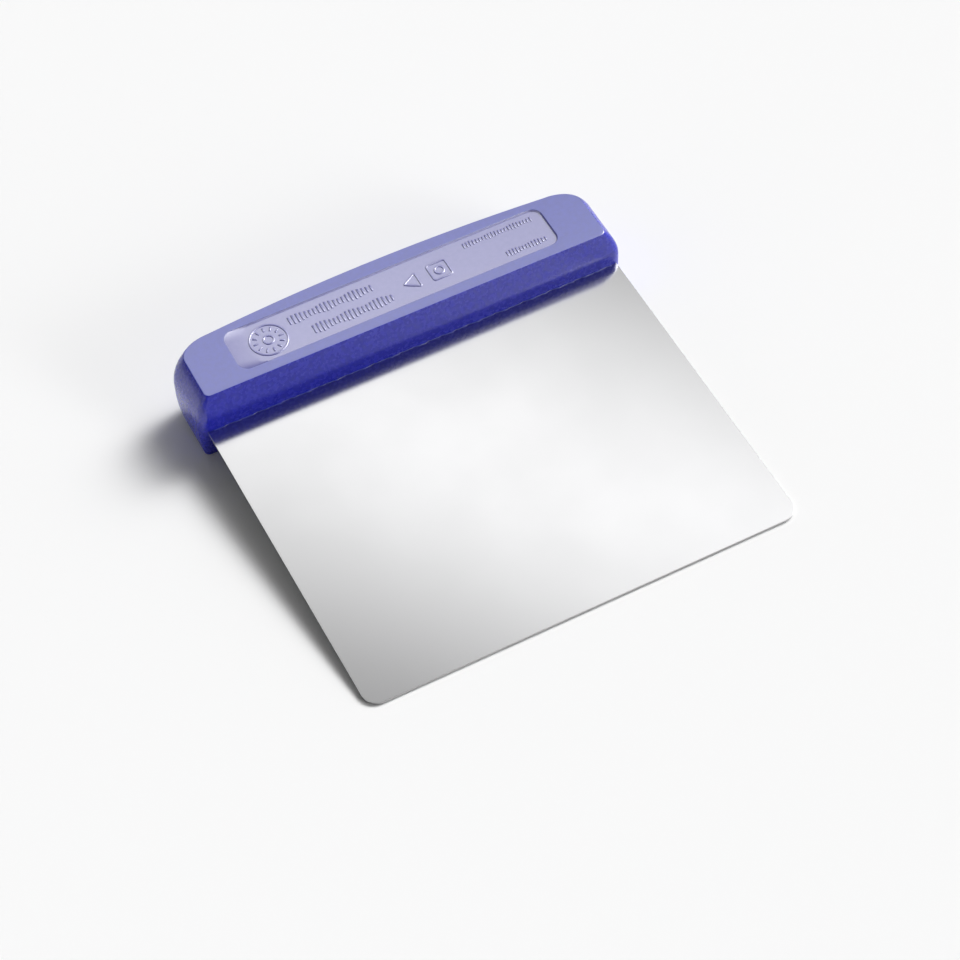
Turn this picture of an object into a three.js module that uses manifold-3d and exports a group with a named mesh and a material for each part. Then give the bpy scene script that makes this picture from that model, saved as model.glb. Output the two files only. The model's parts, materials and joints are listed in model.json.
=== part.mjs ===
// Bench scraper: a stainless blade with a punched tang, and a polypropylene handle moulded round the tang.
// Millimetres, +Z up. The scraper lies as it is put down: the front rim of the handle's underside and
// the cutting edge rest on Z = 0. X runs along the cutting edge and -Y points from handle to edge.
import * as THREE from 'three';
import { mergeVertices } from 'three/addons/utils/BufferGeometryUtils.js';
import Module from 'manifold-3d';

const wasm = await Module();
wasm.setup();

// Blade
const bladeWidth = 120;
const bladeExposed = 94.2; // from the handle's front face to the cutting edge
const bladeThickness = 0.8;
const bladeCornerRadius = 4.2;
const shoulderDepth = 3; // full blade width hidden in the handle, before the tang steps in
const shoulderStep = 5; // how far the tang steps in at each end
const tangCornerRadius = 3;
const tangHoleRadius = 3;
const tangHoleSpacing = 22;
const tangEdgeSteel = 3.5; // steel left behind the holes
const tangEndSteel = 6; // least steel left between the end holes and the tang's ends

// Handle, sizes at the parting plane, which is the blade's middle plane
const handleOverhang = 1.8; // plastic past each end of the blade
const handleDepth = 24.8; // front face to the middle of the bowed back
const tangCover = 7.8; // plastic behind the tang, at the middle of the back
const backRadius = 590; // the back edge is a long arc
const upperHeight = 10.7;
const lowerHeight = 10.7;
const cornerFront = 3; // upright front corners at the parting plane
const topCornerFront = 1.4; // and at the top and bottom faces
const cornerBackAlong = 5; // back corners at the parting plane: half-axes of an ellipse
const cornerBackAcross = 6;
const topCornerAlong = 9; // back corners at the top and bottom faces
const topCornerAcross = 5.5;

// Draft of the handle's walls: how far each face leans in from the parting plane
const frontDraftUpper = 2.8;
const frontLandHeight = 4.5; // above the blade the front face stands nearly upright this far, then leans back
const frontLandDraft = 0.35;
const frontDraftLower = 1.4;
const endDraftUpper = 3.6;
const endDraftLower = 0.8;
const backDraft = 0.9;
const crownPower = 2.6; // above 1, the end and back walls stay upright and roll over late

// Label panel sunk in the upper face
const panelEndRim = 11.7; // rims of the upper face left round the panel
const panelFrontRim = 3.2;
const panelBackRim = 4;
const panelCornerRadius = 3;
const panelSink = 0.5;

// Fits
const mouldGap = 0.3; // modelled gap between the tang and the plastic round it

// Worked out from the sizes above
const handleLength = bladeWidth + 2 * handleOverhang;
const tangDepth = handleDepth - tangCover; // from the handle's front face to the tang's back edge
const tangHoleBack = tangDepth - tangEdgeSteel - tangHoleRadius;
const tangHoleRun = bladeWidth - 2 * (shoulderStep + tangEndSteel + tangHoleRadius);
const tangHoleCount = Math.floor(tangHoleRun / tangHoleSpacing) + 1;
const landShare = frontLandHeight / upperHeight;
const panelRight = handleLength / 2 - endDraftUpper - panelEndRim;
const panelFront = frontDraftUpper + panelFrontRim;
const panelBack = handleDepth - backDraft - panelBackRim;

// Facets
const lowerLevels = 6;
const landLevels = 2;
const slopeLevels = 4;
const frontCornerSteps = 4;
const cornerSteps = 6;
const backSteps = 12;
const roundSteps = 24;

const steel = new THREE.MeshStandardMaterial({ color: 0xc9cacc, roughness: 0.34, metalness: 1 });
const bluePlastic = new THREE.MeshStandardMaterial({ color: 0x272c96, roughness: 0.42, metalness: 0 });

function solidFrom(geometry) {
  const bare = geometry.index ? geometry.clone() : geometry;
  bare.deleteAttribute('normal');
  bare.deleteAttribute('uv');
  const merged = mergeVertices(bare, 1e-4);
  return new wasm.Manifold(new wasm.Mesh({
    numProp: 3,
    vertProperties: new Float32Array(merged.attributes.position.array),
    triVerts: new Uint32Array(merged.index.array),
  }));
}

function geometryFrom(solid) {
  const mesh = solid.getMesh();
  const geometry = new THREE.BufferGeometry();
  geometry.setAttribute('position', new THREE.BufferAttribute(mesh.vertProperties, 3));
  geometry.setIndex(new THREE.BufferAttribute(mesh.triVerts, 1));
  geometry.computeVertexNormals();
  return geometry;
}

// A rectangle with each corner's own radius: [front left, front right, back right, back left].
function roundedRectangle(left, right, front, back, radii) {
  const [frontLeft, frontRight, backRight, backLeft] = radii;
  const shape = new THREE.Shape();
  shape.moveTo(left + frontLeft, front);
  shape.lineTo(right - frontRight, front);
  if (frontRight) shape.absarc(right - frontRight, front + frontRight, frontRight, -Math.PI / 2, 0);
  shape.lineTo(right, back - backRight);
  if (backRight) shape.absarc(right - backRight, back - backRight, backRight, 0, Math.PI / 2);
  shape.lineTo(left + backLeft, back);
  if (backLeft) shape.absarc(left + backLeft, back - backLeft, backLeft, Math.PI / 2, Math.PI);
  shape.lineTo(left, front + frontLeft);
  if (frontLeft) shape.absarc(left + frontLeft, front + frontLeft, frontLeft, Math.PI, Math.PI * 1.5);
  return shape;
}

// An extrusion of a flat shape, centred on the parting plane.
function plate(shape, thickness) {
  const settings = { depth: thickness, bevelEnabled: false, curveSegments: cornerSteps };
  return solidFrom(new THREE.ExtrudeGeometry(shape, settings).translate(0, 0, -thickness / 2));
}

// The blade's plan grown by a margin, so the slot in the handle follows the blade.
function bladePlan(margin, thickness) {
  const half = bladeWidth / 2 + margin;
  const tangHalf = half - shoulderStep;
  const corner = bladeCornerRadius + margin;
  const body = roundedRectangle(-half, half, -bladeExposed - margin, shoulderDepth + margin,
    [corner, corner, 0, 0]);
  const tangCorner = tangCornerRadius + margin;
  const tang = roundedRectangle(-tangHalf, tangHalf, 0, tangDepth + margin,
    [0, 0, tangCorner, tangCorner]);
  return plate(body, thickness).add(plate(tang, thickness));
}

function tangRounds(radius, height) {
  const middle = (tangHoleCount - 1) / 2;
  const places = Array.from({ length: tangHoleCount }, (_, i) => (i - middle) * tangHoleSpacing);
  return places.map((x) => {
    const round = new THREE.CylinderGeometry(radius, radius, height, roundSteps);
    return solidFrom(round.rotateX(Math.PI / 2).translate(x, tangHoleBack, 0));
  });
}

function makeBlade() {
  const holes = tangRounds(tangHoleRadius, bladeThickness * 3);
  return holes.reduce((blade, hole) => blade.subtract(hole), bladePlan(0, bladeThickness));
}

// How far the upper half of the front face leans in: an upright land, then a slope back to the top edge.
function frontLeanUpper(share) {
  if (share <= landShare) return (frontLandDraft * share) / landShare;
  return THREE.MathUtils.mapLinear(share, landShare, 1, frontLandDraft, frontDraftUpper);
}

// One closed ring of the handle, at a share of the half height: 0 at the parting plane, 1 at the face.
function handleRing(share, height, front, endDraft) {
  const crown = share ** crownPower;
  const halfLength = handleLength / 2 - endDraft * crown;
  const back = handleDepth - backDraft * crown;
  const corner = THREE.MathUtils.lerp(cornerFront, topCornerFront, share);
  const along = THREE.MathUtils.lerp(cornerBackAlong, topCornerAlong, share);
  const across = THREE.MathUtils.lerp(cornerBackAcross, topCornerAcross, share);
  const cornerX = halfLength - along;
  const bow = (x) => back - (x * x) / (2 * backRadius);
  const right = [];
  for (let i = 0; i <= frontCornerSteps; i += 1) {
    const angle = (Math.PI / 2) * (i / frontCornerSteps);
    const x = halfLength - corner * (1 - Math.sin(angle));
    right.push(new THREE.Vector2(x, front + corner * (1 - Math.cos(angle))));
  }
  for (let i = 0; i <= cornerSteps; i += 1) {
    const angle = (Math.PI / 2) * (i / cornerSteps);
    const x = cornerX + along * Math.cos(angle);
    right.push(new THREE.Vector2(x, bow(cornerX) - across * (1 - Math.sin(angle))));
  }
  for (let i = 1; i < backSteps / 2; i += 1) {
    const x = cornerX * (1 - (2 * i) / backSteps);
    right.push(new THREE.Vector2(x, bow(x)));
  }
  const middle = new THREE.Vector2(0, back);
  const left = right.map((point) => new THREE.Vector2(-point.x, point.y)).reverse();
  return [...right, middle, ...left].map((point) => new THREE.Vector3(point.x, point.y, share * height));
}

// Rings stacked bottom to top make the walls; the first and last are closed by flat fans.
function loft(rings) {
  const size = rings[0].length;
  const points = rings.flat();
  const faces = [];
  for (let level = 0; level < rings.length - 1; level += 1) {
    for (let i = 0; i < size; i += 1) {
      const a = level * size + i;
      const b = level * size + ((i + 1) % size);
      faces.push(a, b, b + size, a, b + size, a + size);
    }
  }
  const last = (rings.length - 1) * size;
  for (let i = 1; i < size - 1; i += 1) {
    faces.push(0, i + 1, i);
    faces.push(last, last + i, last + i + 1);
  }
  const geometry = new THREE.BufferGeometry().setFromPoints(points);
  geometry.setIndex(faces);
  return solidFrom(geometry);
}

function handleBody() {
  const lowerShares = Array.from({ length: lowerLevels }, (_, i) => 1 - i / lowerLevels);
  const landShares = Array.from({ length: landLevels }, (_, i) => (landShare * i) / landLevels);
  const slopeShares = Array.from({ length: slopeLevels + 1 },
    (_, i) => THREE.MathUtils.lerp(landShare, 1, i / slopeLevels));
  const lowerRings = lowerShares.map(
    (share) => handleRing(share, -lowerHeight, frontDraftLower * share, endDraftLower),
  );
  const upperRings = [...landShares, ...slopeShares].map(
    (share) => handleRing(share, upperHeight, frontLeanUpper(share), endDraftUpper),
  );
  return loft([...lowerRings, ...upperRings]);
}

function labelPanel() {
  const radii = Array(4).fill(panelCornerRadius);
  const shape = roundedRectangle(-panelRight, panelRight, panelFront, panelBack, radii);
  return plate(shape, panelSink * 2).translate([0, 0, upperHeight]);
}

function makeHandle() {
  const slot = bladePlan(mouldGap, bladeThickness + mouldGap * 2);
  const plugs = tangRounds(tangHoleRadius - mouldGap, bladeThickness + mouldGap * 4);
  const shell = handleBody().subtract(slot).subtract(labelPanel());
  return plugs.reduce((handle, plug) => handle.add(plug), shell);
}

function namedMesh(name, solid, material) {
  const mesh = new THREE.Mesh(geometryFrom(solid), material);
  mesh.name = name;
  return mesh;
}

// Resting pose: the blade's plane dips until the cutting edge's lower rim is level with the front rim
// of the handle's underside.
const rimDrop = lowerHeight - bladeThickness / 2;
const rimRun = bladeExposed + frontDraftLower;
const restingTilt = Math.atan2(rimDrop, rimRun);

const scraper = new THREE.Group();
scraper.add(namedMesh('blade', makeBlade(), steel));
scraper.add(namedMesh('handle', makeHandle(), bluePlastic));
scraper.rotation.x = restingTilt;

// The origin is the middle of the footprint, on the surface that the scraper lies on.
scraper.updateMatrixWorld(true);
const reach = new THREE.Box3().setFromObject(scraper, true);
const middle = reach.getCenter(new THREE.Vector3());
scraper.position.set(-middle.x, -middle.y, -reach.min.z);

const group = new THREE.Group();
group.add(scraper);

export default group;
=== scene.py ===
# Bench scraper: the looks of the blade and the moulded handle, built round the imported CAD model.
import json
import math

import bmesh
import bpy
from mathutils import Matrix, Vector


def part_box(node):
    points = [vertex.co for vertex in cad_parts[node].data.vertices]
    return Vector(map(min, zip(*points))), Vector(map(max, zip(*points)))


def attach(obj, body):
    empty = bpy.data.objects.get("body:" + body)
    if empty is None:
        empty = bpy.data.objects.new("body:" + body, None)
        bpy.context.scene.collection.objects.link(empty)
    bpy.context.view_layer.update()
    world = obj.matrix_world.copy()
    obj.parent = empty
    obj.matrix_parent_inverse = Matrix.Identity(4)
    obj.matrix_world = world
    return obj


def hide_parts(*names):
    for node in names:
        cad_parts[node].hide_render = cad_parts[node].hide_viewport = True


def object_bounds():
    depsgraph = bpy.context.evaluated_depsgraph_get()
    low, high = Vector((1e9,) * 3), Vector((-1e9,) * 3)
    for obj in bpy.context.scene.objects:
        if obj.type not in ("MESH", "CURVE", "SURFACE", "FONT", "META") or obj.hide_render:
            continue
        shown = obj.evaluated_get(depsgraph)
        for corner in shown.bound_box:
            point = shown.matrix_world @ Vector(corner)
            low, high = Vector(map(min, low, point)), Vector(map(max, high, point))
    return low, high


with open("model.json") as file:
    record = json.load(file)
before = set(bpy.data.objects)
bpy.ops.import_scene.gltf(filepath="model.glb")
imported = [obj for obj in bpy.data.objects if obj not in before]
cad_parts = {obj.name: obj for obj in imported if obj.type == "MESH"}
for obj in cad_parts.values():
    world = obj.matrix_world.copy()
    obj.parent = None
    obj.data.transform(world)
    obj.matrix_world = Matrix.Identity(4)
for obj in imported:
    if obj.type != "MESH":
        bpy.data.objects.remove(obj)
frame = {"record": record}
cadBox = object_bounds()
mm = 0.001
print("frame loaded")

# The scraper is modelled flat, with the blade in the XY plane and the handle's front at Y = 0,
# and then laid down as the CAD part lies.
rest = {
    "mount": "handle_underside",
    "tangDepth": 17 * mm,  # blade hidden in the handle
    "bladeThickness": 0.8 * mm,
}


def restingPlace():
    mount = next(m for m in frame["record"]["mounts"] if m["name"] == rest["mount"])
    tilt = math.atan2(mount["axis"][1], -mount["axis"][2])
    low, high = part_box("blade")
    half = rest["bladeThickness"] / 2
    fullLength = (high.y - low.y - 2 * half * math.sin(tilt)) / math.cos(tilt)
    exposed = fullLength - rest["tangDepth"]
    shift = Vector((
        (low.x + high.x) / 2,
        low.y + exposed * math.cos(tilt) + half * math.sin(tilt),
        low.z + exposed * math.sin(tilt) + half * math.cos(tilt),
    ))
    return Matrix.Translation(shift) @ Matrix.Rotation(tilt, 4, "X"), exposed, high.x - low.x


place, bladeExposed, bladeWidth = restingPlace()

tiny = 1e-6  # a thousandth of a millimetre, for comparing places
rimAngle = math.radians(60)  # edges sharper than this are rims


def finishPiece(bm, name, materials, nodes=(), sharpAngle=35, crease=0.0):
    bmesh.ops.remove_doubles(bm, verts=bm.verts, dist=tiny / 10)
    bmesh.ops.recalc_face_normals(bm, faces=bm.faces)
    bm.transform(place)
    mesh = bpy.data.meshes.new(name)
    bm.to_mesh(mesh)
    bm.free()
    mesh.shade_smooth()
    mesh.set_sharp_from_angle(angle=math.radians(sharpAngle))
    for material in materials:
        mesh.materials.append(material)
    piece = bpy.data.objects.new(name, mesh)
    bpy.context.scene.collection.objects.link(piece)
    if crease:
        rounding = piece.modifiers.new("rounding", "BEVEL")
        rounding.limit_method = "WEIGHT"
        rounding.width = crease
        rounding.segments = handle["creaseSteps"]
        rounding.harden_normals = True
    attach(piece, "root")
    if nodes:
        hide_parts(*nodes)
    print(name, "made:", len(mesh.polygons), "faces")
    return piece


steelLook = {
    "colour": (0.52, 0.52, 0.525, 1),
    "roughness": (0.155, 0.17),
    "grainAcross": 2600,  # fine rolling grain, cycles per metre across the blade
    "grainAlong": 60,
    "cloud": 45,  # slow drift of the roughness, cycles per metre
    "bump": 0.004,
    "bumpDepth": 0.00002,
}

wallLook = {  # spark-textured walls
    "colour": (0.0025, 0.007, 0.52, 1),
    "deepColour": (0.0015, 0.005, 0.35, 1),
    "roughness": (0.23, 0.31),
    "ior": 1.5,
    "bump": 0.35,
}

topPaintedSheenLook = {  # smoother top and underside; their paler, whiter blue than the walls' is partly painted sheen
    "colour": (0.020, 0.040, 0.44, 1),
    "deepColour": (0.010, 0.024, 0.34, 1),
    "roughness": 0.28,
    "ior": 2.1,
    "bump": 0.08,
}

panelPaintedSheenLook = {  # satin floor of the label panel; its pale, whitish tint is painted sheen
    "colour": (0.150, 0.147, 0.46, 1),
    "deepColour": (0.130, 0.130, 0.42, 1),
    "roughness": 0.26,
    "ior": 2.4,
    "bump": 0.04,
}

plasticTexture = {
    "grain": 1300,  # cycles per metre
    "grainDetail": 1.0,
    "mottle": 800,
    "mottleDetail": 5.0,
    "tintRange": (0.22, 0.78),  # of the mottle, over which the tint goes from deep to full
    "bumpDepth": 0.00005,
}


def newMaterial(name):
    material = bpy.data.materials.new(name)
    material.use_nodes = True
    nodes = material.node_tree.nodes
    return material, nodes, material.node_tree.links, nodes["Principled BSDF"]


def objectNoise(nodes, links, scale, detail=3.0, stretch=(1, 1, 1)):
    coords = nodes.new("ShaderNodeTexCoord")
    mapping = nodes.new("ShaderNodeMapping")
    mapping.inputs["Scale"].default_value = stretch
    noise = nodes.new("ShaderNodeTexNoise")
    noise.inputs["Scale"].default_value = scale
    noise.inputs["Detail"].default_value = detail
    links.new(coords.outputs["Object"], mapping.inputs["Vector"])
    links.new(mapping.outputs["Vector"], noise.inputs["Vector"])
    return noise.outputs["Fac"]


def spread(nodes, links, value, low, high, fromLow=0.3, fromHigh=0.7):
    ramp = nodes.new("ShaderNodeMapRange")
    ramp.inputs["From Min"].default_value = fromLow
    ramp.inputs["From Max"].default_value = fromHigh
    ramp.inputs["To Min"].default_value = low
    ramp.inputs["To Max"].default_value = high
    links.new(value, ramp.inputs["Value"])
    return ramp.outputs["Result"]


def bumpFrom(nodes, links, value, strength, distance):
    bump = nodes.new("ShaderNodeBump")
    bump.inputs["Strength"].default_value = strength
    bump.inputs["Distance"].default_value = distance
    links.new(value, bump.inputs["Height"])
    return bump.outputs["Normal"]


def satinSteel():
    look = steelLook
    material, nodes, links, shader = newMaterial("satinSteel")
    shader.inputs["Base Color"].default_value = look["colour"]
    shader.inputs["Metallic"].default_value = 1.0
    stretch = (look["grainAlong"], look["grainAcross"], look["grainAcross"])
    grain = objectNoise(nodes, links, 1.0, 2.0, stretch)
    cloud = objectNoise(nodes, links, look["cloud"])
    normal = bumpFrom(nodes, links, grain, look["bump"], look["bumpDepth"])
    links.new(spread(nodes, links, cloud, *look["roughness"]), shader.inputs["Roughness"])
    links.new(normal, shader.inputs["Normal"])
    return material


def mouldedPlastic(name, look):
    texture = plasticTexture
    material, nodes, links, shader = newMaterial(name)
    mottle = objectNoise(nodes, links, texture["mottle"], texture["mottleDetail"])
    grain = objectNoise(nodes, links, texture["grain"], texture["grainDetail"])
    normal = bumpFrom(nodes, links, grain, look["bump"], texture["bumpDepth"])
    tint = nodes.new("ShaderNodeMix")
    tint.data_type = "RGBA"
    tint.inputs["A"].default_value = look["deepColour"]
    tint.inputs["B"].default_value = look["colour"]
    links.new(spread(nodes, links, mottle, 0, 1, *texture["tintRange"]), tint.inputs["Factor"])
    links.new(tint.outputs["Result"], shader.inputs["Base Color"])
    if isinstance(look["roughness"], tuple):  # uneven
        links.new(spread(nodes, links, mottle, *look["roughness"]), shader.inputs["Roughness"])
    else:
        shader.inputs["Roughness"].default_value = look["roughness"]
    links.new(normal, shader.inputs["Normal"])
    shader.inputs["IOR"].default_value = look["ior"]
    shader.inputs["Specular IOR Level"].default_value = 1.0
    return material


blade = {
    "cornerRadius": 4.2 * mm,
    "shoulderDepth": 3 * mm,  # full width inside the handle
    "shoulderStep": 5 * mm,
    "tangCornerRadius": 3 * mm,
    "holeRadius": 3 * mm,
    "holeSpacing": 22 * mm,
    "holeCount": 5,
    "holeBack": 10.5 * mm,
    "edgeBreak": 0.16 * mm,
    "cornerSteps": 14,
    "holeSteps": 40,
}


def bladeOutline(bm):
    half = bladeWidth / 2
    tangHalf = half - blade["shoulderStep"]
    corners = [
        (-half, -bladeExposed), (half, -bladeExposed),
        (half, blade["shoulderDepth"]), (tangHalf, blade["shoulderDepth"]),
        (tangHalf, rest["tangDepth"]), (-tangHalf, rest["tangDepth"]),
        (-tangHalf, blade["shoulderDepth"]), (-half, blade["shoulderDepth"]),
    ]
    verts = [bm.verts.new((x, y, 0)) for x, y in corners]
    bm.faces.new(verts)
    rounded = ((verts[0:2], blade["cornerRadius"]), (verts[4:6], blade["tangCornerRadius"]))
    for picked, radius in rounded:
        bmesh.ops.bevel(bm, geom=picked, offset=radius, segments=blade["cornerSteps"], profile=0.5,
                        affect="VERTICES", material=-1)


def tangHoleSpots():
    middle = (blade["holeCount"] - 1) / 2
    places = [(i - middle) * blade["holeSpacing"] for i in range(blade["holeCount"])]
    return [Vector((x, blade["holeBack"], 0)) for x in places]


def makeBlade(material):
    bm = bmesh.new()
    bladeOutline(bm)
    bmesh.ops.delete(bm, geom=bm.faces[:], context="FACES_ONLY")
    for spot in tangHoleSpots():
        bmesh.ops.create_circle(bm, segments=blade["holeSteps"], radius=blade["holeRadius"],
                                matrix=Matrix.Translation(spot))
    bmesh.ops.triangle_fill(bm, edges=bm.edges[:], use_beauty=True, use_dissolve=True,
                            normal=(0, 0, 1))
    bmesh.ops.dissolve_limit(bm, angle_limit=math.radians(1), verts=[], edges=bm.edges[:])
    grown = bmesh.ops.extrude_face_region(bm, geom=bm.faces[:])
    raised = [g for g in grown["geom"] if isinstance(g, bmesh.types.BMVert)]
    bmesh.ops.translate(bm, verts=raised, vec=(0, 0, rest["bladeThickness"]))
    bmesh.ops.translate(bm, verts=bm.verts, vec=(0, 0, -rest["bladeThickness"] / 2))
    bmesh.ops.recalc_face_normals(bm, faces=bm.faces)
    rims = [e for e in bm.edges if e.is_manifold and abs(e.calc_face_angle()) > rimAngle
            and abs(e.verts[0].co.z - e.verts[1].co.z) < tiny]
    bmesh.ops.bevel(bm, geom=rims, offset=blade["edgeBreak"], segments=2, profile=0.5,
                    affect="EDGES", material=-1, clamp_overlap=True)
    return finishPiece(bm, "bladeSheet", [material], ["blade"], sharpAngle=20)


handle = {
    "overhang": 1.8 * mm,  # plastic past each end of the blade
    "depth": 24.8 * mm,
    "bowRadius": 590 * mm,  # the back edge is a long arc
    "upper": 10.7 * mm,
    "lower": 10.7 * mm,
    "frontCorner": (3 * mm, 1.4 * mm),  # at the parting plane, and at the top and bottom faces
    "backCorner": (5 * mm, 6 * mm),  # along, across, at the parting plane
    "topBackCorner": (9 * mm, 5.5 * mm),
    "lowerFrontDraft": 1.4 * mm,
    "upperFrontDraft": 2.8 * mm,
    "frontLand": (4.5 * mm, 0.35 * mm),  # height and lean of the upright part above the blade
    "landBend": 0.07,  # share of the height over which the front turns from land to slope, each way
    "endDraft": (0.8 * mm, 3.6 * mm),
    "backDraft": 0.9 * mm,
    "crownPower": 2.6,
    "lowerLevels": 8,
    "landLevels": 3,
    "bendLevels": 6,
    "slopeLevels": 5,
    "crease": 0.18 * mm,  # rounding between walls and flat faces
    "creaseSteps": 4,
    "mouthGap": 0.03 * mm,  # between steel and plastic
    "slotExtra": 0.05 * mm,  # room past the tang's edges
}

panel = {
    "endRim": 11.7 * mm,
    "frontRim": 3.2 * mm,
    "backRim": 4 * mm,
    "corner": 3 * mm,
    "sink": 0.5 * mm,
    "wallLean": 0.24 * mm,
    "edge": 0.12 * mm,  # rounding of the panel's rim
    "margin": 0.6 * mm,
    "splitTurn": math.pi / 6,
    "leftRamp": 5 * mm,  # the wall at the left end slopes down softly
}

# Points along half a ring, counted from the middle of the front to the middle of the back. The
# front corner is split at the turn where the blade's mouth ends, so that the mouth is whole faces.
ringSteps = {"front": 24, "mouthCorner": 3, "frontCorner": 6, "end": 12, "backCorner": 14, "back": 28}
materialPlace = {"top": 1, "panel": 2}  # in the handle's list of materials, where the walls are 0


def steps(start, end, count):
    return [start + (end - start) * (i + 1) / count for i in range(count)]


def halfRing(halfLength, front, back, bowRadius, frontCorner, backCorner, splitTurn):
    along, across = backCorner
    cornerX = halfLength - along
    straight = halfLength - frontCorner

    def bow(x):
        return x * x / (2 * bowRadius) if bowRadius else 0.0

    points = [Vector((0, front))]
    for x in steps(0, straight, ringSteps["front"]):
        points.append(Vector((x, front)))
    turns = steps(0, splitTurn, ringSteps["mouthCorner"])
    turns += steps(splitTurn, math.pi / 2, ringSteps["frontCorner"])
    for turn in turns:
        y = front + frontCorner * (1 - math.cos(turn))
        points.append(Vector((straight + frontCorner * math.sin(turn), y)))
    endFront = front + frontCorner
    endBack = back - bow(cornerX) - across
    for y in steps(endFront, endBack, ringSteps["end"]):
        points.append(Vector((halfLength, y)))
    for turn in steps(0, math.pi / 2, ringSteps["backCorner"]):
        y = back - bow(cornerX) - across * (1 - math.sin(turn))
        points.append(Vector((cornerX + along * math.cos(turn), y)))
    for x in steps(cornerX, 0, ringSteps["back"]):
        points.append(Vector((x, back - bow(x))))
    return points


def fullRing(*sizes):
    half = halfRing(*sizes)
    mirrored = [Vector((-p.x, p.y)) for p in reversed(half[1:-1])]
    return half + mirrored


def blendSize(a, b, share):
    return a + (b - a) * share


# How far the front leans in at a share of the half height. Side 0 is below the blade, 1 above.
def frontLean(share, side):
    if side == 0:
        return handle["lowerFrontDraft"] * share
    landHeight, landLean = handle["frontLand"]
    landShare, bend = landHeight / handle["upper"], handle["landBend"]
    landRate = landLean / landShare
    slopeRate = (handle["upperFrontDraft"] - landLean) / (1 - landShare) - landRate
    bent = min(max(share - landShare + bend, 0), 2 * bend)
    beyond = max(share - landShare - bend, 0)
    return landRate * share + slopeRate * (bent ** 2 / (4 * bend) + beyond)


# How far the front corner has turned where the mouth ends.
def mouthTurn():
    overhang = handle["overhang"] - handle["slotExtra"]
    corner = handle["frontCorner"][0]
    return math.asin(1 - overhang / corner)


def wallRing(share, side):
    crown = share ** handle["crownPower"]
    halfLength = bladeWidth / 2 + handle["overhang"] - handle["endDraft"][side] * crown
    back = handle["depth"] - handle["backDraft"] * crown
    frontCorner = blendSize(*handle["frontCorner"], share)
    corners = zip(handle["backCorner"], handle["topBackCorner"])
    backCorner = [blendSize(a, b, share) for a, b in corners]
    return fullRing(halfLength, frontLean(share, side), back, handle["bowRadius"],
                    frontCorner, backCorner, mouthTurn())


def panelRing(inset, ramp=0.0):
    halfLength = bladeWidth / 2 + handle["overhang"] - handle["endDraft"][1]
    right = halfLength - panel["endRim"] - inset
    front = handle["upperFrontDraft"] + panel["frontRim"] + inset
    back = handle["depth"] - handle["backDraft"] - panel["backRim"] - inset
    corner = panel["corner"] - inset
    points = fullRing(right, front, back, None, corner, (corner, corner), panel["splitTurn"])
    for point in points:
        if point.x < -right / 2:
            point.x += ramp * (-point.x - right / 2) / (right / 2)
    return points


def startRing(bm, points, z):
    order = bm.verts.layers.int.new("order")
    made = bmesh.ops.create_circle(bm, segments=len(points), radius=1, cap_ends=False)
    for i, vert in enumerate(made["verts"]):
        vert[order] = i
        vert.co = (points[i].x, points[i].y, z)
    return order, list({e for v in made["verts"] for e in v.link_edges})


def nextRing(bm, order, edges, points, z):
    grown = bmesh.ops.extrude_edge_only(bm, edges=edges)
    for vert in (g for g in grown["geom"] if isinstance(g, bmesh.types.BMVert)):
        point = points[vert[order]]
        vert.co = (point.x, point.y, z)
    return [g for g in grown["geom"] if isinstance(g, bmesh.types.BMEdge)]


def wallLevels():
    halfMouth = rest["bladeThickness"] / 2 + handle["mouthGap"]
    landShare, bend = handle["frontLand"][0] / handle["upper"], handle["landBend"]
    low, high = halfMouth / handle["lower"], halfMouth / handle["upper"]
    lower = [1] + steps(1, low, handle["lowerLevels"])
    upper = [high] + steps(high, landShare - bend, handle["landLevels"])
    upper += steps(landShare - bend, landShare + bend, handle["bendLevels"])
    upper += steps(landShare + bend, 1, handle["slopeLevels"])
    return [(share, 0) for share in lower] + [(share, 1) for share in upper]


def mouthFaces(bm):
    halfMouth = rest["bladeThickness"] / 2 + handle["mouthGap"]
    halfWidth = bladeWidth / 2 + handle["slotExtra"]
    frontFaces = [f for f in bm.faces if f.calc_center_median().y < handle["frontCorner"][0] / 2]

    def inMouth(vert):
        return abs(vert.co.z) < halfMouth + tiny and abs(vert.co.x) < halfWidth + tiny

    return [f for f in frontFaces if all(inMouth(v) for v in f.verts)]


def pushIn(bm, faces, depth, widthShare):
    grown = bmesh.ops.extrude_face_region(bm, geom=faces)
    bmesh.ops.delete(bm, geom=faces, context="FACES")
    verts = [g for g in grown["geom"] if isinstance(g, bmesh.types.BMVert)]
    for vert in verts:
        vert.co.y = depth
        vert.co.x *= widthShare
    return [g for g in grown["geom"] if isinstance(g, bmesh.types.BMFace)]


def facesOf(edges):
    return list({face for edge in edges for face in edge.link_faces})


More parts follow.
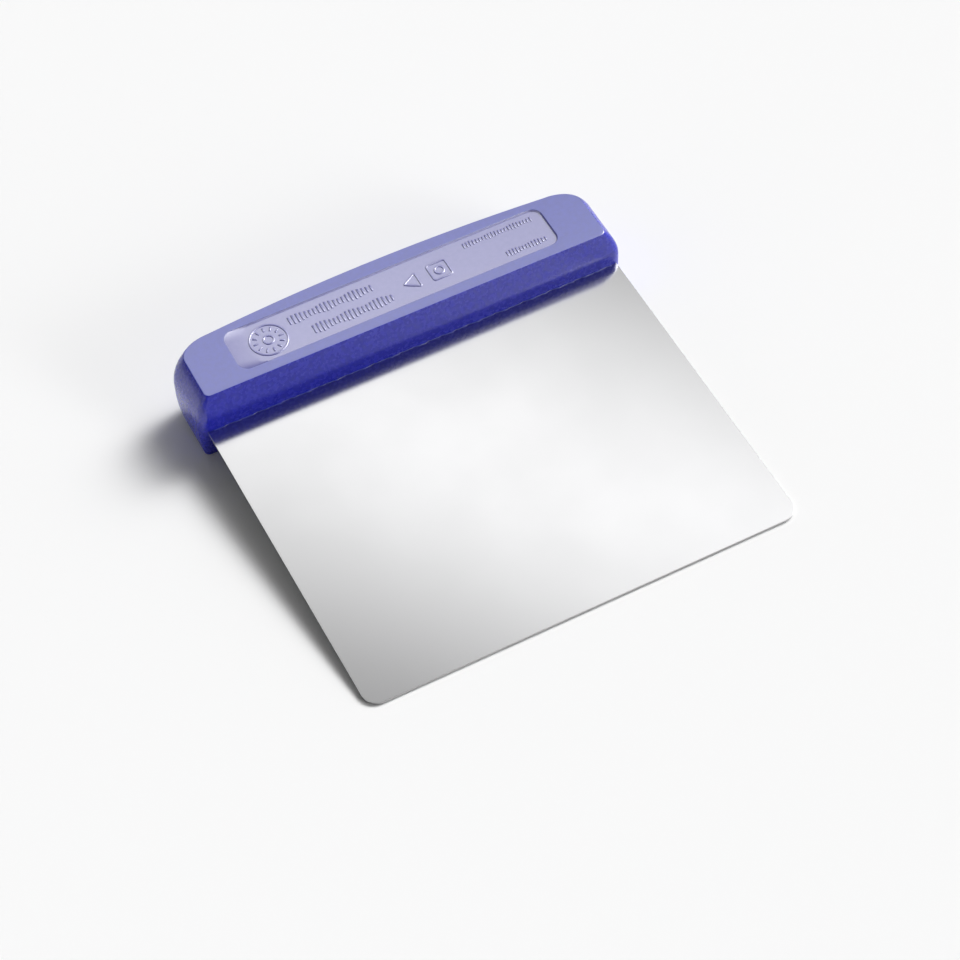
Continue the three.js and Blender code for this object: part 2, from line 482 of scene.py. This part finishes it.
def makeHandle(*materials):
    bm = bmesh.new()
    weight = bm.edges.layers.float.new("bevel_weight_edge")
    heights = (-handle["lower"], handle["upper"])
    levels = wallLevels()
    order, edges = startRing(bm, wallRing(1, 0), heights[0])
    underside = bmesh.ops.contextual_create(bm, geom=edges)["faces"]
    outlines = list(edges)
    for share, side in levels[1:]:
        edges = nextRing(bm, order, edges, wallRing(share, side), heights[side] * share)
    outlines += edges
    topFaces = list(underside)
    panelFaces = []
    floorHeight = handle["upper"] - panel["sink"]
    lean, margin, ramp = panel["wallLean"], panel["margin"], panel["leftRamp"]
    edges = nextRing(bm, order, edges, panelRing(0), handle["upper"])
    topFaces += facesOf(edges)
    panelRim = list(edges)
    edges = nextRing(bm, order, edges, panelRing(lean, ramp), floorHeight)
    panelFaces += facesOf(edges)
    edges = nextRing(bm, order, edges, panelRing(lean + margin, ramp), floorHeight)
    panelFaces += facesOf(edges)
    panelFaces += bmesh.ops.contextual_create(bm, geom=edges)["faces"]
    for face in topFaces:
        face.material_index = materialPlace["top"]
    for face in panelFaces:
        face.material_index = materialPlace["panel"]
    for edge in outlines:
        edge[weight] = 1
    for edge in panelRim:
        edge[weight] = panel["edge"] / handle["crease"]
    bmesh.ops.recalc_face_normals(bm, faces=bm.faces)
    mouth = mouthFaces(bm)
    slotBack = rest["tangDepth"] + handle["slotExtra"]
    shoulderBack = blade["shoulderDepth"] + handle["slotExtra"]
    step = (bladeWidth / 2 - blade["shoulderStep"]) / (bladeWidth / 2)
    mouth = pushIn(bm, mouth, shoulderBack, 1)
    mouth = pushIn(bm, mouth, shoulderBack, step)
    pushIn(bm, mouth, slotBack, 1)
    return finishPiece(bm, "handleBody", materials, ["handle"],
                       crease=handle["crease"])


relief = {  # plain raised marks on the panel's floor
    "rise": 0.18 * mm,
    "sunk": 0.05 * mm,  # foot of each mark below the floor
    "line": 0.45 * mm,
    "edge": 0.07 * mm,
    "cornerSteps": 4,
    "ribWave": {"mean": 0.8, "swing": 0.2, "pace": 0.9},  # share of the tallest rib, along a row
    "dial": {
        "middle": (-36 * mm, 12.8 * mm),
        "ring": (5.3 * mm, 48),  # radius and sides
        "hub": (1.6 * mm, 24),
        "ticks": 12,
        "tick": (1.3 * mm, 3.6 * mm),  # length, and its middle's distance out
    },
    "outlines": [  # middle, radius, corners, turn in degrees, corner radius
        ((5.8 * mm, 12.6 * mm), 3.3 * mm, 3, 90, 1 * mm),
        ((13.6 * mm, 12.9 * mm), 4.2 * mm, 4, 45, 0.9 * mm),
        ((13.6 * mm, 12.9 * mm), 1.5 * mm, 16, 0, 0),
    ],
    "rows": [  # first X, last X, middle Y, rib width, tallest rib, pitch
        (-28.6 * mm, -5 * mm, 15.9 * mm, 0.5 * mm, 3.2 * mm, 1.18 * mm),
        (-24 * mm, -0.6 * mm, 10.3 * mm, 0.5 * mm, 3.4 * mm, 1.18 * mm),
        (23 * mm, 43.6 * mm, 17.2 * mm, 0.35 * mm, 1.9 * mm, 0.95 * mm),
        (32 * mm, 43.6 * mm, 9.2 * mm, 0.38 * mm, 2.1 * mm, 0.95 * mm),
    ],
}


def addOutline(bm, middle, radius, corners, turn, cornerRadius):
    spot = Matrix.Translation((*middle, 0)) @ Matrix.Rotation(math.radians(turn), 4, "Z")
    made = bmesh.ops.create_circle(bm, cap_ends=True, segments=corners, radius=radius, matrix=spot)
    face = made["verts"][0].link_faces[0]
    if cornerRadius:
        bevelled = bmesh.ops.bevel(bm, geom=made["verts"], offset=cornerRadius,
                                   segments=relief["cornerSteps"], profile=0.5,
                                   affect="VERTICES", material=-1)
        face = bevelled["verts"][0].link_faces[0]
    bmesh.ops.inset_region(bm, faces=[face], thickness=relief["line"], use_boundary=True,
                           use_even_offset=True)
    bmesh.ops.delete(bm, geom=[face], context="FACES")


def addBar(bm, middle, width, length, turn=0.0):
    spot = Matrix.Translation((*middle, 0)) @ Matrix.Rotation(turn, 4, "Z")
    size = Matrix.Diagonal((width, length, 1, 1))
    bmesh.ops.create_grid(bm, x_segments=1, y_segments=1, size=0.5, matrix=spot @ size)


def addDial(bm):
    dial = relief["dial"]
    for radius, sides in (dial["ring"], dial["hub"]):
        addOutline(bm, dial["middle"], radius, sides, 0, 0)
    length, out = dial["tick"]
    for i in range(dial["ticks"]):
        turn = 2 * math.pi * i / dial["ticks"]
        spot = Vector(dial["middle"]) + Vector((-math.sin(turn), math.cos(turn))) * out
        addBar(bm, spot, relief["line"], length, turn)


def addRow(bm, firstX, lastX, middleY, width, tallest, pitch):
    wave = relief["ribWave"]
    for i in range(int((lastX - firstX) / pitch) + 1):
        length = tallest * (wave["mean"] + wave["swing"] * math.sin(i * wave["pace"]))
        addBar(bm, (firstX + i * pitch, middleY), width, length)


# Flat faces in the XY plane become raised marks with rounded upper rims.
def raiseFlats(bm, foot, height, edge):
    grown = bmesh.ops.extrude_face_region(bm, geom=bm.faces[:])
    raised = [g for g in grown["geom"] if isinstance(g, bmesh.types.BMVert)]
    bmesh.ops.translate(bm, verts=raised, vec=(0, 0, height))
    bmesh.ops.translate(bm, verts=bm.verts, vec=(0, 0, foot))
    bmesh.ops.recalc_face_normals(bm, faces=bm.faces)
    top = foot + height - tiny
    rims = [e for e in bm.edges if e.verts[0].co.z > top and e.verts[1].co.z > top
            and e.is_manifold and abs(e.calc_face_angle()) > rimAngle]
    bmesh.ops.bevel(bm, geom=rims, offset=edge, segments=2, profile=0.5, affect="EDGES", material=-1,
                    clamp_overlap=True)


def makeRelief(material):
    bm = bmesh.new()
    addDial(bm)
    for outline in relief["outlines"]:
        addOutline(bm, *outline)
    for row in relief["rows"]:
        addRow(bm, *row)
    foot = handle["upper"] - panel["sink"] - relief["sunk"]
    raiseFlats(bm, foot, relief["rise"] + relief["sunk"], relief["edge"])
    return finishPiece(bm, "panelRelief", [material])


flash = {  # thin fin of plastic left on the steel along the handle's front
    "height": 0.1 * mm,
    "buried": 0.2 * mm,
    "short": 1.6 * mm,  # of the blade's corner, at each end
    "reach": (0.26 * mm, 0.2 * mm),  # mean, and how much it wanders
    "least": 0.02 * mm,
    "clear": 0.02 * mm,  # above the steel
    "edge": 0.02 * mm,
    "steps": 160,
    "longWaves": (0.83, 0.29),  # radians a step
    "shortWave": (2.3, 0.4),  # radians a step, and its share
}


def makeFlash(material):
    bm = bmesh.new()
    halfLength = bladeWidth / 2 - flash["short"]
    bmesh.ops.create_grid(bm, x_segments=flash["steps"], y_segments=1, size=1)
    mean, wander = flash["reach"]
    firstLong, secondLong = flash["longWaves"]
    short, shortShare = flash["shortWave"]
    for vert in bm.verts:
        i = vert.co.x * flash["steps"] / 2
        ragged = math.sin(i * firstLong) * math.sin(i * secondLong + 1)
        ragged += shortShare * math.sin(i * short)
        vert.co.x *= halfLength
        outer = -max(mean + wander * ragged, flash["least"])
        vert.co.y = flash["buried"] if vert.co.y > 0 else outer
    raiseFlats(bm, rest["bladeThickness"] / 2 + flash["clear"], flash["height"], flash["edge"])
    return finishPiece(bm, "mouldFlash", [material])


plugs = {  # the plastic in the tang's holes
    "play": 0.05 * mm,
    "overlap": 0.1 * mm,  # into the plastic above and below, together
}


def makePlugs(material):
    bm = bmesh.new()
    radius = blade["holeRadius"] - plugs["play"]
    height = rest["bladeThickness"] + 2 * handle["mouthGap"] + plugs["overlap"]
    for spot in tangHoleSpots():
        bmesh.ops.create_cone(bm, cap_ends=True, segments=blade["holeSteps"], radius1=radius,
                              radius2=radius, depth=height, matrix=Matrix.Translation(spot))
    return finishPiece(bm, "tangPlugs", [material])


# The top and panel plastics' paler colours are painted sheen; the underside, the mould flash and the
# raised marks share them.
wallPlastic = mouldedPlastic("wallPlastic", wallLook)
topPlasticPaintedSheen = mouldedPlastic("topPlasticPaintedSheen", topPaintedSheenLook)
panelPlasticPaintedSheen = mouldedPlastic("panelPlasticPaintedSheen", panelPaintedSheenLook)
makeBlade(satinSteel())
makeHandle(wallPlastic, topPlasticPaintedSheen, panelPlasticPaintedSheen)
makeRelief(panelPlasticPaintedSheen)
makeFlash(topPlasticPaintedSheen)
makePlugs(wallPlastic)


floor = {
    "size": 3.0,
    "colour": (0.92, 0.92, 0.92, 1),
    "roughness": 0.9,
    "specular": 0.1,
    "drop": 0.05 * mm,  # below the scraper's lowest point
}

camera = {
    "place": (-0.18108, -0.43709, 0.51439),
    "target": (-0.00539, -0.01194, 0.00551),
    "roll": -6.32,
    "lens": 101.7,
    "sensor": 36,
}

# The studio: a dim surround, soft lights, and a soft strip high behind that the steel mirrors.
sky = {
    "surround": 0.1,
    "lights": {
        "rightKey": {"towards": (0.66, 0.14, 0.74), "tightness": 40, "strength": 28},
        "frontFill": {"towards": (0.48, -0.81, 0.33), "tightness": 110, "strength": 14},
        "lowFill": {"towards": (0.36, -0.92, 0.12), "tightness": 250, "strength": 3.4},
        "frontWall": {"towards": (0.60, -0.80, 0.02), "tightness": 9, "strength": 0.4},
        "backWall": {"towards": (0.05, 1.0, 0.1), "tightness": 9, "strength": 0.7},
        "leftWall": {"towards": (-1.0, -0.1, 0.1), "tightness": 9, "strength": 0.7},
        "rightWall": {"towards": (1.0, 0.0, 0.1), "tightness": 9, "strength": 0.7},
    },
    "strip": {
        "axis": (0.1815, 0.0183, -0.9832),  # the strip lies across this direction
        "middle": -0.7786,
        "halfWidth": 0.039,
        "fade": 3.1,
        "towards": (0.264, 0.444, 0.857),
        "tightness": 10,
        "strength": 2.42,
    },
}


def makeFloor():
    bm = bmesh.new()
    bmesh.ops.create_grid(bm, x_segments=1, y_segments=1, size=floor["size"] / 2)
    bmesh.ops.translate(bm, verts=bm.verts, vec=(0, 0, cadBox[0].z - floor["drop"]))
    mesh = bpy.data.meshes.new("floor")
    bm.to_mesh(mesh)
    bm.free()
    material, _, _, shader = newMaterial("paleFloor")
    shader.inputs["Base Color"].default_value = floor["colour"]
    shader.inputs["Roughness"].default_value = floor["roughness"]
    shader.inputs["Specular IOR Level"].default_value = floor["specular"]
    mesh.materials.append(material)
    plane = bpy.data.objects.new("floor", mesh)
    bpy.context.scene.collection.objects.link(plane)


def aim(obj, place, target, roll=0.0):
    back = (Vector(place) - Vector(target)).normalized()
    turn = back.to_track_quat("Z", "Y").to_matrix().to_4x4()
    tip = Matrix.Rotation(math.radians(roll), 4, "Z")
    obj.matrix_world = Matrix.Translation(Vector(place)) @ turn @ tip


def mathNode(nodes, links, operation, first, second=0.0):
    node = nodes.new("ShaderNodeMath")
    node.operation = operation
    for socket, value in zip(node.inputs, (first, second)):
        if isinstance(value, (int, float)):
            socket.default_value = value
        else:
            links.new(value, socket)
    return node.outputs["Value"]


def alongDirection(nodes, links, direction, towards):
    dot = nodes.new("ShaderNodeVectorMath")
    dot.operation = "DOT_PRODUCT"
    dot.inputs[1].default_value = towards
    links.new(direction, dot.inputs[0])
    return dot.outputs["Value"]


# How far a direction lies towards a light: 1 at its middle, fading round it.
def facing(nodes, links, direction, light):
    near = alongDirection(nodes, links, direction, Vector(light["towards"]).normalized())
    near = mathNode(nodes, links, "MAXIMUM", near, 0.0)
    return mathNode(nodes, links, "POWER", near, light["tightness"])


def stripProfile(nodes, links, direction, strip):
    across = alongDirection(nodes, links, direction, strip["axis"])
    offset = mathNode(nodes, links, "SUBTRACT", across, strip["middle"])
    offset = mathNode(nodes, links, "ABSOLUTE", offset)
    offset = mathNode(nodes, links, "DIVIDE", offset, strip["halfWidth"])
    falloff = mathNode(nodes, links, "POWER", offset, strip["fade"])
    fade = mathNode(nodes, links, "ADD", falloff, 1.0)
    return mathNode(nodes, links, "DIVIDE", strip["strength"], fade)


def makeSky():
    world = bpy.data.worlds.new("studio")
    world.use_nodes = True
    nodes, links = world.node_tree.nodes, world.node_tree.links
    direction = nodes.new("ShaderNodeTexCoord").outputs["Generated"]
    total = sky["surround"]
    for light in sky["lights"].values():
        near = facing(nodes, links, direction, light)
        glow = mathNode(nodes, links, "MULTIPLY", near, light["strength"])
        total = mathNode(nodes, links, "ADD", glow, total)
    strip = sky["strip"]
    window = facing(nodes, links, direction, strip)
    beyond = mathNode(nodes, links, "SUBTRACT", 1.0, window)
    shaded = mathNode(nodes, links, "MULTIPLY", total, beyond)  # keeps the others off the strip
    profile = stripProfile(nodes, links, direction, strip)
    shine = mathNode(nodes, links, "MULTIPLY", window, profile)
    total = mathNode(nodes, links, "ADD", shaded, shine)
    links.new(total, nodes["Background"].inputs["Strength"])
    nodes["Background"].inputs["Color"].default_value = (1, 1, 1, 1)
    bpy.context.scene.world = world


def makeCamera():
    data = bpy.data.cameras.new("camera")
    data.lens = camera["lens"]
    data.sensor_width = camera["sensor"]
    view = bpy.data.objects.new("camera", data)
    bpy.context.scene.collection.objects.link(view)
    aim(view, camera["place"], camera["target"], camera["roll"])
    bpy.context.scene.camera = view


makeFloor()
makeSky()
makeCamera()
bpy.context.scene.view_settings.view_transform = "Standard"
print("stage set")
